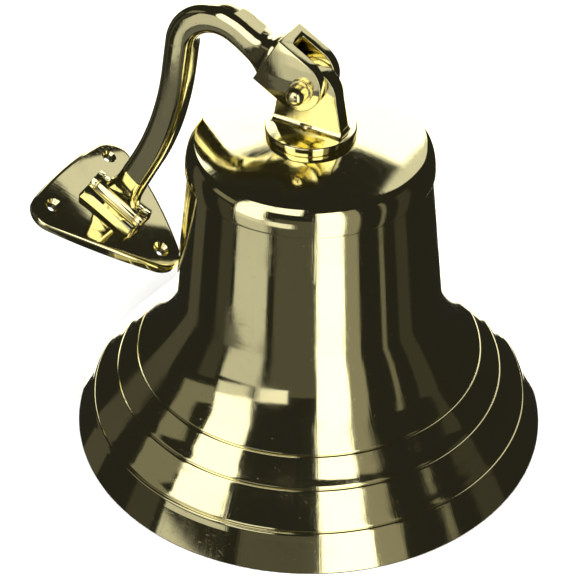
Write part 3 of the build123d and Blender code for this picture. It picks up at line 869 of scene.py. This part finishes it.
# ---------------------------------------------------------------- the bell
@dataclass
class BellShell:
    """Cast and turned shell: flared skirt with three incised lines, waist and crown."""

    mouth: float = 127.0
    lip_land: float = 5.0
    lip_edge: float = 1.0
    lip_round: float = 0.8
    rings: tuple[tuple[float, float], ...] = ((117.3, 19.5), (103.6, 35.9), (92.4, 48.6))
    ring_half: float = 0.62
    ring_depth: float = 0.55
    # the groove's section, from below: along the wall in half widths, out of it in depths
    groove: tuple[tuple[float, float], ...] = (
        (-3.0, 0.0), (-2.2, 0.0), (-1.5, 0.0), (-1.1, -0.03), (-0.8, -0.25), (-0.22, -0.94))
    groove_clear: float = 3.4
    waist_foot: tuple[float, float] = (71.9, 72.4)
    flare: float = 62.0
    blend: float = 186.0
    step: float = 4.0
    shoulder: tuple[float, float] = (62.2, 162.8)
    shoulder_bead: tuple[float, float] = (63.5, 163.5)
    bead_lift: float = 0.1
    bead_round: float = 0.35
    shoulder_knee: tuple[float, float] = (62.9, 173.4)
    rim: tuple[float, float] = (58.4, 176.8)
    rim_ease: float = 0.7
    dome_bulge: float = 0.5
    seat: tuple[float, float] = (24.0, 182.0)
    bore: tuple[float, float] = (6.3, 176.0)
    inner: tuple[tuple[float, float], ...] = (
        (19.0, 176.0), (56.67, 175.0), (56.67, 164.0), (66.5, 72.4), (83.4, 48.6), (105.3, 19.5))
    inner_rounds: tuple[float, ...] = (0.0, 9.0, 40.0, 62.0, 120.0, 14.0)

    def grooved(self, run: Profile) -> Profile:
        """Cuts the incised lines into the outside of the skirt.

        Args:
            run: the outside from the lip upwards.

        Returns:
            The run with a small V with soft edges at each line.
        """
        made: Profile = list(run)
        cut = list(self.groove) + [(-along, out) for along, out in reversed(self.groove)]
        clear = self.groove_clear * self.ring_half
        for place in self.rings:
            at = Vector(place)
            k = min(range(1, len(made) - 1), key=lambda n: (Vector(made[n]) - at).length)
            way = (Vector(made[k + 1]) - Vector(made[k - 1])).normalized()
            side = Vector((way.y, -way.x))
            below = [q for q in made[:k + 1] if (Vector(q) - at).length > clear]
            above = [q for q in made[k:] if (Vector(q) - at).length > clear]
            line = [tuple(at + way * (self.ring_half * u) + side * (self.ring_depth * v)) for u, v in cut]
            made = below + line + above
        return made

    @staticmethod
    def curve(first: Vector, knee: Vector, last: Vector, steps: int) -> Profile:
        """Points on a smooth curve that heads for its knee, without the first."""
        turns = [k / steps for k in range(1, steps + 1)]
        return [tuple(first.lerp(knee, t).lerp(knee.lerp(last, t), t)) for t in turns]

    def outside(self) -> Profile:
        """Outside of the shell from the lip up to the seat."""
        lip = (self.mouth, self.lip_round)
        skirt = rounded([self.rings[0], self.rings[2], self.waist_foot, self.shoulder],
                        [0, self.blend, self.flare, 0], steps=26)
        wall: Profile = [lip, *bowed(lip, self.rings[0], 0.0, 12)]
        for first, last in zip(skirt, skirt[1:]):
            span = (Vector(last) - Vector(first)).length
            wall += bowed(first, last, 0.0, max(1, round(span / self.step)))
        crook = (self.shoulder_bead[0], self.shoulder[1] + self.bead_lift)
        bead = rounded([self.shoulder, crook, self.shoulder_bead], [0, self.bead_round, 0], steps=4)
        start, knee, end = (Vector(place) for place in (self.shoulder_bead, self.shoulder_knee, self.rim))
        band = bead[1:] + self.curve(start, knee, end, 18)
        dome = bowed(self.rim, self.seat, self.dome_bulge, 16)
        return self.grooved(wall) + band[:-1] + self.eased(band, dome)

    def eased(self, before: Profile, after: Profile) -> Profile:
        """Rounds the crisp rim between the shoulder and the dome a little."""
        corner = Vector(before[-1])
        first = corner + (Vector(before[-2]) - corner).normalized() * self.rim_ease
        last = corner + (Vector(after[0]) - corner).normalized() * self.rim_ease
        return [tuple(first), *self.curve(first, corner, last, 5), *after]

    def profile(self) -> Profile:
        """The whole section as a loop."""
        lip = arc((self.mouth - self.lip_round, self.lip_round), self.lip_round, 0, -90, 5)
        foot = (self.mouth - self.lip_edge - self.lip_land, 0.0)
        inner = rounded([self.bore, *self.inner, foot], [0.0, *self.inner_rounds, 0.0], steps=14)
        return self.outside() + [(self.bore[0], self.seat[1])] + inner + lip[::-1][:-1]

    def build(self, shop: Shop, finish: Finish) -> None:
        """Makes the shell and stands it for the CAD body."""
        home = ("bell", "bell_brass", "bell_body")
        shop.fitting("bell_shell", [self.profile()], ROW, finish, 256, home, True)


# ------------------------------------------------------------ crown hanger
@dataclass
class CrownHanger:
    """Round foot with a flat tongue that the fork straddles."""

    seat: float = 182.0
    foot: float = 23.0
    thick: float = 4.8
    foot_rounds: tuple[float, float] = (0.5, 0.8)
    tongue: float = 8.6
    top: float = 16.0
    top_centre: float = 206.1
    root_half: float = 19.4
    root_round: float = 3.0
    root_inset: float = 0.4
    sunk: float = 0.8
    edge: float = 0.55
    bore: float = 4.05

    def build(self, shop: Shop, finish: Finish) -> None:
        """Makes the foot and the tongue as one casting."""
        top = self.seat + self.thick
        disc = rounded([(0, self.seat), (self.foot, self.seat), (self.foot, top), (0, top)],
                       [0, *self.foot_rounds, 0], steps=4)
        hanger = shop.turned("crown_foot_and_tongue", [disc], ROW, finish, 160)
        side = arc((0, self.top_centre), self.top, 0, 180, 40)
        outline = [(self.root_half, top - self.sunk), *side, (-self.root_half, top - self.sunk)]
        half, r = self.tongue / 2, self.root_round
        tongue = soften(prism("tongue", outline, -half, half, FRONT), self.edge, 3, 50)
        left = arc((-half - r, top + r), r, 270, 360, 8)
        right = arc((half + r, top + r), r, 180, 270, 8)
        low = top - self.root_inset
        reach = self.root_half - self.root_inset
        root = prism("root", [*left, *right, (half + r, low), (-half - r, low)], -reach, reach, SIDE)
        combine(combine(hanger, root, "UNION"), tongue, "UNION")
        shop.drilled(hanger, self.bore, turned_frame(PIN, ACROSS), finish)
        dress(paint(tidy(hanger), finish), "bell", "bracket_brass", "crown_hanger")


# ------------------------------------------------------------- swan neck arm
@dataclass
class SwanNeck:
    """Square bar with a waisted root at its knuckle and a trumpet over the fork."""

    bar: float = 15.4
    corner: float = 4.4
    straight_up: float = 46.6
    rise_start: float = -83.0
    crook_top: float = 76.44
    drop_line: float = -3.5
    rise_round: float = 180.0
    crook_round: float = 23.0
    step: float = 1.6
    knuckle: float = 6.0
    knuckle_half: float = 13.5
    bore: float = 3.05
    # along the bar: out, up, width in the plane, depth across it
    root: tuple[tuple[float, float, float, float], ...] = (
        (-155.2, 47.2, 24.4, 6.6), (-151.0, 47.2, 22.0, 7.2), (-145.5, 47.1, 18.2, 9.0),
        (-138.0, 46.7, 16.0, 12.6), (-129.0, 46.6, 15.4, 15.4))
    trumpet: tuple[tuple[float, float, float, float], ...] = (
        (-3.5, 40.0, 15.4, 15.4), (-3.45, 33.5, 16.2, 15.9), (-3.2, 29.0, 18.4, 16.8),
        (-2.9, 25.8, 21.4, 18.2), (-2.7, 23.6, 23.6, 19.6), (-2.6, 21.4, 24.2, 20.0))

    @staticmethod
    def smooth(rows: Sequence[Sequence[float]], steps: int = 8) -> list[list[float]]:
        """Runs a smooth curve through rows of numbers."""
        ends = [rows[0], *rows, rows[-1]]
        made = []
        for k in range(1, len(ends) - 2):
            quads = list(zip(*ends[k - 1:k + 3]))
            for t in (n / steps for n in range(steps)):
                made.append([0.5 * (2 * q + (r - p) * t + (2 * p - 5 * q + 4 * r - u) * t ** 2
                                    + (3 * q - p - 3 * r + u) * t ** 3) for p, q, r, u in quads])
        return made + [list(rows[-1])]

    def path(self) -> list[list[float]]:
        """The bar's line with its width and depth at each point."""
        corners = [self.root[-1][:2], (self.rise_start, self.straight_up), (self.drop_line, self.crook_top),
                   self.trumpet[0][:2]]
        run = rounded(corners, [0, self.rise_round, self.crook_round, 0], steps=40)
        middle: Profile = []
        for first, last in zip(run, run[1:]):
            count = max(1, round((Vector(last) - Vector(first)).length / self.step))
            middle += bowed(first, last, 0.0, count)
        body = [[x, y, self.bar, self.bar] for x, y in middle[:-1]]
        return self.smooth(self.root) + body + self.smooth(self.trumpet)

    def build(self, shop: Shop, finish: Finish) -> None:
        """Makes the arm in one piece with its knuckle."""
        arm = shop.swept("swan_neck_arm", self.path(), HUNG, finish, self.bar, self.corner, 8)
        about = turned_frame(HINGE, DROP)
        section = ring_section(self.bore, self.knuckle, -self.knuckle_half, self.knuckle_half, 0.5)
        knuckle = shop.turned("knuckle", [section], about, finish, 72, closed=True)
        combine(shop.drilled(arm, self.bore, about, finish, 72), knuckle, "UNION")
        dress(paint(tidy(arm, 28.0), finish), "bracket", "bracket_brass", "bracket_arm")


# ---------------------------------------------------- fork and its cross pin
@dataclass
class ForkAndPin:
    """Fork that straddles the tongue, with its cross pin, washers and cap nut."""

    half: float = 14.6
    thick: float = 21.0
    back: float = 23.0
    round_centre: float = 4.6
    slot_half: float = 4.6
    slot_floor: float = 16.9
    edge: float = 0.65
    pin: float = 4.0
    pin_past: float = 4.5
    washer: float = 6.3
    washer_thick: float = 1.4
    head: float = 4.9
    head_length: float = 8.0
    head_round: float = 4.0
    nut_flats: float = 9.6
    nut_sides: tuple[float, float, float, float] = (0.5, 3.4, 4.0, 4.1)
    nut_dome: float = 2.4
    nut_depth: float = 4.7

    def fork(self, shop: Shop, finish: Finish, about: Matrix) -> None:
        """Makes the slotted block."""
        outline = arc((0, self.round_centre), self.half, 180, 360, 48)
        outline += [(self.half, self.back), (-self.half, self.back)]
        block = prism("fork_block", outline, -self.thick / 2, self.thick / 2, HUNG)
        gap = box_outline(60, 60, (0, self.slot_floor - 30))
        slot = prism("slot", gap, -self.slot_half, self.slot_half, HUNG)
        soften(combine(block, slot), self.edge, 3, 50)
        shop.drilled(block, self.pin, about, finish)
        dress(paint(tidy(block), finish), "bracket", "bracket_brass", "fork")

    def cap_nut(self, shop: Shop, finish: Finish, about: Matrix, foot: float) -> None:
        """Makes the domed hexagon nut on the pin's far end."""
        flat = self.nut_flats / 2
        corner = flat / math.cos(math.radians(30))
        chamfer, side, neck, dome_foot = (foot + rise for rise in self.nut_sides)
        dome = [(flat * math.cos(math.radians(a)), dome_foot + self.nut_dome * math.sin(math.radians(a)))
                for a in range(0, 91, 9)]
        body = [(0, foot), (flat, foot), (corner, chamfer), (corner, side), (flat, neck), *dome]
        nut = shop.turned("cross_pin_cap_nut", [body], about, finish, 72)
        trim = prism("trim", hexagon(self.nut_flats), foot - 1, dome_foot + self.nut_dome + 1, about)
        bore = ring_section(0, self.pin, foot - 1, foot + self.nut_depth)
        combine(combine(nut, trim, "INTERSECT"), shop.turned("bore", [bore], about, finish, 48))
        dress(paint(tidy(nut), finish), "bracket", "pin_brass", "yoke_cap_nut")

    def build(self, shop: Shop, cast: Finish, turned: Finish) -> None:
        """Makes the fork, the pin, the washers and the nut."""
        about = turned_frame(PIN, ACROSS)
        self.fork(shop, cast, about)
        face = self.thick / 2
        outer = face + self.washer_thick
        rings = [ring_section(self.pin, self.washer, low, low + self.washer_thick, 0.3, 3)
                 for low in (-outer, face)]
        home = ("bracket", "pin_brass", "yoke_washers")
        shop.fitting("cross_pin_washers", rings, about, turned, 72, home, True)
        tip, end = -outer - self.head_length, outer + self.pin_past
        head = rounded([(0, tip), (self.head, tip), (self.head, -outer)], [0, self.head_round, 0], steps=14)
        section = head + [(self.pin, -outer), (self.pin, end), (0, end)]
        shop.fitting("cross_pin", [section], about, turned, 72, ("bracket", "pin_brass", "yoke_pin"))
        self.cap_nut(shop, turned, about, outer)


# ---------------------------------------------------------------- wall plate
@dataclass
class WallPlate:
    """Domed three-hole plate with a boss, two lugs and the hinge pin."""

    back: float = 5.6
    back_round: float = 0.4
    crown: float = 2.2
    dome: float = 300.0
    edge: float = 1.6
    insets: tuple[float, ...] = (0.0, 0.12, 0.35, 0.7, 1.15, 1.6)
    rim_step: float = 1.2
    dome_rows: int = 26
    centre: tuple[float, float] = (HINGE_DROP, 0.0)
    screws: tuple[tuple[float, float], ...] = ((0, -27.3), (0, 27.3), (58.6, 0))
    screw: float = 2.5
    sink: float = 4.3
    sink_past: float = 0.6
    boss: tuple[float, float, float] = (37.2, 23.2, 7.9)
    boss_taper: float = 1.11
    lug: float = 6.4
    lug_from: float = 14.6
    lug_to: float = 17.6
    trough: float = 6.4
    hinge_pin: float = 3.0
    pin_half: float = 18.4
    washer: float = 6.0
    washer_thick: float = 1.0

    def outline(self) -> list[Vector]:
        """The plate's outline, in order, read from the flat back of the CAD node."""
        to_local = PLATE.inverted()
        points = [to_local @ v.co for v in frame["nodes"]["wall_plate"].data.vertices]
        middle = Vector(self.centre)
        flat = {(round(p.x, 3), round(p.y, 3)) for p in points if abs(p.z + self.back) < 0.01}
        clear = 1.6 * self.sink
        rim = [Vector(p) for p in flat if all((Vector(p) - Vector(q)).length > clear for q in self.screws)]
        return sorted(rim, key=lambda p: math.atan2(p.y - middle.y, p.x - middle.x))

    def height(self, place: Vector) -> float:
        """Height of the domed face at a place."""
        reach = (place - Vector(self.centre)).length_squared
        return self.crown - (self.dome - math.sqrt(self.dome ** 2 - reach))

    def slab(self) -> Piece:
        """The plate itself: flat back, rounded rim and a shallow dome."""
        rough, middle = self.outline(), Vector(self.centre)
        rim: list[Vector] = []
        for first, last in zip(rough, rough[1:] + rough[:1]):
            steps = max(1, round((last - first).length / self.rim_step))
            rim += [first.lerp(last, k / steps) for k in range(steps)]
        count = len(rim)
        ways = [rim[(k + 1) % count] - rim[k - 1] for k in range(count)]
        normals = [Vector((way.y, -way.x)).normalized() for way in ways]

        def inset(depth: float) -> list[Vector]:
            """The rim moved inwards."""
            return [p - n * depth for p, n in zip(rim, normals)]

        rings = [[(p.x, p.y, -self.back) for p in inset(self.back_round)],
                 [(p.x, p.y, self.back_round - self.back) for p in rim]]
        for depth in self.insets:
            fall = self.edge - math.sqrt(self.edge ** 2 - (self.edge - depth) ** 2)
            rings.append([(p.x, p.y, self.height(p) - fall) for p in inset(depth)])
        for k in range(1, self.dome_rows):
            moved = [p.lerp(middle, k / self.dome_rows) for p in inset(self.edge)]
            rings.append([(p.x, p.y, self.height(p)) for p in moved])
        verts = [corner for ring in rings for corner in ring] + [(middle.x, middle.y, self.crown)]
        faces: list[tuple[int, ...]] = [tuple(range(count))[::-1]]
        for a in range(0, (len(rings) - 1) * count, count):
            b = a + count
            faces += [(a + k, a + (k + 1) % count, b + (k + 1) % count, b + k) for k in range(count)]
        last_ring = (len(rings) - 1) * count
        faces += [(last_ring + k, last_ring + (k + 1) % count, len(verts) - 1) for k in range(count)]
        return tidy(mesh_object("wall_plate_casting", verts, [], faces, PLATE))

    def hinge_block(self, shop: Shop, finish: Finish) -> Piece:
        """The boss with its trough and the two lugs."""
        long, wide, top = self.boss
        taper = 2 * self.boss_taper
        low = box_outline(long, wide, self.centre, 1.5, 5)
        high = box_outline(long - taper, wide - taper, self.centre, 1.5, 5)
        count = len(low)
        verts = [(x, y, -1.0) for x, y in low] + [(x, y, top) for x, y in high]
        block = tidy(mesh_object("boss", verts, [], prism_faces(count), PLATE))
        cheek = basis(HINGE, ACROSS, OUT)
        reach = HINGE_RISE + 0.8
        lug = [(self.lug, -reach), (self.lug, 0), *arc((0, 0), self.lug, 0, 180, 28), (-self.lug, -reach)]
        for start, end in ((-self.lug_to, -self.lug_from), (self.lug_from, self.lug_to)):
            combine(block, prism("lug", lug, start, end, cheek), "UNION")
        trough = arc((0, 0), self.trough, 180, 360, 28) + [(self.trough, 12), (-self.trough, 12)]
        combine(block, prism("trough", trough, -self.lug_from, self.lug_from, cheek))
        soften(block, 0.5, 3, 40)
        return shop.drilled(block, self.hinge_pin, turned_frame(HINGE, DROP), finish)

    def build(self, shop: Shop, cast: Finish, turned: Finish) -> None:
        """Makes the plate, its hinge pin and the washers."""
        plate = self.slab()
        depth = self.sink + self.crown
        top = self.crown + self.sink_past
        cone = [(0, -20), (self.screw, -20), (self.screw, self.screw - self.sink),
                (depth + self.sink_past, top), (0, top)]
        for drop, half in self.screws:
            place = PLATE @ Matrix.Translation((drop, half, 0))
            combine(plate, shop.turned("sink", [cone], place, cast, 64))
        combine(plate, self.hinge_block(shop, cast), "UNION")
        dress(paint(tidy(plate), cast), "plate", "bracket_brass", "wall_plate")
        about = turned_frame(HINGE, DROP)
        pin = ring_section(0, self.hinge_pin, -self.pin_half, self.pin_half, 0.75, 5)
        shop.fitting("hinge_cross_pin", [pin], about, turned, 64, ("plate", "pin_brass", "hinge_pin"))
        lows = (-self.lug_from, self.lug_from - self.washer_thick)
        rings = [ring_section(self.hinge_pin, self.washer, low, low + self.washer_thick, 0.25, 3)
                 for low in lows]
        home = ("plate", "pin_brass", "hinge_washers")
        shop.fitting("hinge_side_washers", rings, about, turned, 64, home, True)


# ------------------------------------------------------ fixings in the crown
@dataclass
class CrownFixings:
    """Washer, nut and eye bolt that clamp the hanger to the crown from inside."""

    inner: float = 176.0
    washer: float = 16.0
    washer_bore: float = 6.3
    washer_thick: float = 2.4
    nut_flats: float = 19.0
    nut_height: float = 9.0
    nut_chamfer: float = 1.2
    eye_height: float = 150.0
    eye: float = 10.0
    eye_thick: float = 8.0
    eye_bore: float = 4.05
    neck: float = 9.0
    shank: float = 6.0
    shank_ends: tuple[float, float] = (158.6, 189.0)
    thread_foot: float = 159.9
    pitch: float = 1.1
    ridge: float = 0.34

    def eye_bolt(self, shop: Shop, finish: Finish) -> None:
        """Makes the eye, its shank and the thread that shows."""
        middle = Vector((0, 0, self.eye_height))
        start = math.degrees(math.acos(self.shank / self.eye))
        outline = arc((0, 0), self.eye, 180 - start, 360 + start, 56)
        outline += [(self.shank, self.neck), (-self.shank, self.neck)]
        half = self.eye_thick / 2
        bolt = prism("clapper_eye_bolt", outline, -half, half, basis(middle, AHEAD, UP))
        soften(shop.drilled(bolt, self.eye_bore, turned_frame(middle, ACROSS), finish), 0.6, 3, 45)
        low, high = self.shank_ends
        corners = [(0, low), (self.shank, low), (self.shank, high), (0, high)]
        shank = rounded(corners, [0, 0.5, 0.8, 0], steps=3)
        tidy(combine(bolt, shop.turned("shank", [shank], ROW, finish, 72), "UNION"))
        shop.thread.run(bolt, finish, Ridges=5, Pitch=self.pitch * MM, Foot=self.thread_foot * MM,
                        Shank=(self.shank - 0.02) * MM, Wire=self.ridge * MM)
        dress(paint(tidy(bolt, merge=1e-7), finish), "bell", "inner_brass", "eye_bolt")

    def build(self, shop: Shop, finish: Finish) -> None:
        """Makes the three pieces."""
        top = self.inner - self.washer_thick
        ring = rounded([(self.washer_bore, top), (self.washer, top), (self.washer, self.inner),
                        (self.washer_bore, self.inner)], [0, 0.5, 0.2, 0], steps=4)
        home = ("bell", "inner_brass", "crown_washer")
        shop.fitting("crown_inner_washer", [ring], ROW, finish, 96, home, True)
        low = top - self.nut_height
        corner = self.nut_flats / 2 / math.cos(math.radians(30))
        flat = self.nut_flats / 2 - 0.2
        body = [(self.shank, low), (flat, low), (corner, low + self.nut_chamfer),
                (corner, top - self.nut_chamfer), (flat, top), (self.shank, top)]
        nut = shop.turned("crown_inner_nut", [body], ROW, finish, 96, closed=True)
        combine(nut, prism("trim", hexagon(self.nut_flats), low - 1, top + 1, ROW), "INTERSECT")
        dress(paint(tidy(nut), finish), "bell", "inner_brass", "crown_nut")
        self.eye_bolt(shop, finish)


@dataclass
class ClapperShackle:
    """Bow shackle on the eye bolt, with its collared pin."""

    pivot: float = 150.0
    ear: float = 7.2
    ear_from: float = 4.3
    ear_thick: float = 6.8
    wire: float = 3.0
    bow: float = 136.0
    pin: float = 4.0
    collar: float = 5.6
    pin_ends: tuple[float, float, float] = (-13.5, -11.1, 12.6)

    def build(self, shop: Shop, finish: Finish) -> None:
        """Makes the shackle and its pin."""
        about = turned_frame(Vector((0, 0, self.pivot)), ACROSS)
        middle = self.ear_from + self.ear_thick / 2
        start = self.pivot - self.wire
        bend = arc((0, self.bow), middle, 0, -180, 28)
        line = [(middle, start), (middle, self.bow), *bend[1:], (-middle, start)]
        bar = 2 * self.wire
        rows = [(x, z, bar, bar) for x, z in line]
        shackle = shop.swept("bow_shackle", rows, FRONT, finish, bar, self.wire - 0.01, 6)
        # the bow lies across the bell, square to the eye
        shackle.data.transform(Matrix.Rotation(math.radians(90), 4, "Z"))
        for low in (-self.ear_from - self.ear_thick, self.ear_from):
            ear = ring_section(0, self.ear, low, low + self.ear_thick, 0.7)
            combine(shackle, shop.turned("ear", [ear], about, finish, 72), "UNION")
        shop.drilled(shackle, self.pin, about, finish)
        dress(paint(tidy(shackle), finish), "shackle", "inner_brass", "clapper_shackle")
        head, neck, end = self.pin_ends
        corners = [(0, head), (self.collar, head), (self.collar, neck), (self.pin, neck), (self.pin, end),
                   (0, end)]
        section = rounded(corners, [0, 1.2, 0.3, 0, 0.6, 0], steps=4)
        home = ("shackle", "inner_brass", "shackle_pin")
        shop.fitting("shackle_collared_pin", [section], about, finish, 64, home)


@dataclass
class Clapper:
    """Turned rod with a ring at its top, a ball and an eyed tail."""

    ring_height: float = 128.3
    ring: float = 6.3
    wire: float = 2.7
    # the rod below its ring: radius and depth under the ring's foot
    shoulder: tuple[tuple[float, float], ...] = ((3.4, 3.5), (4.3, 8.0), (4.5, 11.0))
    swell: tuple[float, float] = (5.2, 90.0)
    ball_height: float = 38.0
    ball: float = 18.5
    ball_top: float = 58.0
    foot: float = 6.0
    tail: float = 3.0
    tail_ends: tuple[float, float] = (12.5, 14.2)
    tail_height: float = 8.5
    tail_ring: tuple[float, float, float] = (2.4, 5.2, 2.5)

    def build(self, shop: Shop, finish: Finish) -> None:
        """Makes the rod with its ring and tail, and the ball."""
        top = self.ring_height - self.ring
        seat = self.foot - 0.05
        low, neck = self.tail_ends
        shoulder = [(r, top - drop) for r, drop in self.shoulder]
        shape = [(0, top + 1.0), (self.wire - 0.3, top + 1.0), *shoulder, self.swell, (seat, self.ball_top),
                 (seat, self.ball_height), (self.tail, self.ball_height), (self.tail, neck), (self.tail, low),
                 (0, low)]
        rod = shop.turned("clapper_rod_turned", [shape], ROW, finish, 96)
        hoop = turned_frame(Vector((0, 0, self.ring_height)), ACROSS)
        ring = arc((self.ring, 0), self.wire, 0, 345, 23)
        combine(rod, shop.turned("ring", [ring], hoop, finish, 72, closed=True), "UNION")
        hole, rim, half = self.tail_ring
        corners = [(hole, -half), (rim, -half), (rim, half), (hole, half)]
        tail = rounded(corners, [0.4, 0.8, 0.8, 0.4], True, 4)
        eye = turned_frame(Vector((0, 0, self.tail_height)), ACROSS)
        combine(rod, shop.turned("tail", [tail], eye, finish, 64, closed=True), "UNION")
        dress(paint(tidy(rod), finish), "clapper", "clapper_bronze", "clapper_rod")
        upper = math.degrees(math.acos(self.foot / self.ball))
        lower = math.degrees(math.acos(self.tail / self.ball))
        skin = arc((0, self.ball_height), self.ball, -lower, upper, 64)
        section = [(self.tail, self.ball_height), *skin, (self.foot, self.ball_height)]
        home = ("clapper", "clapper_bronze", "clapper_ball")
        shop.fitting("clapper_ball_turned", [section], ROW, finish, 128, home, True)


def main() -> None:
    """Builds the studio, dresses every piece and reports each one."""
    logging.basicConfig(level=logging.INFO, format="%(name)s: %(message)s")
    Studio().build()
    shop = Shop()
    bell = Brass("polished_bell").make()
    hanger = Brass("polished_hanger", wave_height=4.0e-5, wave_scale=60.0).make()
    casting = Brass("polished_casting", wave_height=8.0e-5, wave_scale=50.0).make()
    plate = Brass("polished_plate", wave_height=6.0e-5, wave_scale=50.0).make()
    pins = Brass("turned_pins", tint=(0.90, 0.80, 0.42), roughness=0.16, lay=Lay.SATIN).make()
    inside = Brass("machined_fixings", tint=(0.86, 0.76, 0.50), roughness=0.16, tarnish_amount=0.6).make()
    clapper = Brass("turned_clapper", tint=(0.80, 0.66, 0.40), roughness=0.14, tarnish_amount=0.7).make()
    BellShell().build(shop, bell)
    CrownHanger().build(shop, hanger)
    SwanNeck().build(shop, casting)
    ForkAndPin().build(shop, casting, pins)
    WallPlate().build(shop, plate, pins)
    CrownFixings().build(shop, inside)
    ClapperShackle().build(shop, inside)
    Clapper().build(shop, clapper)


if __name__ == "__main__":
    main()
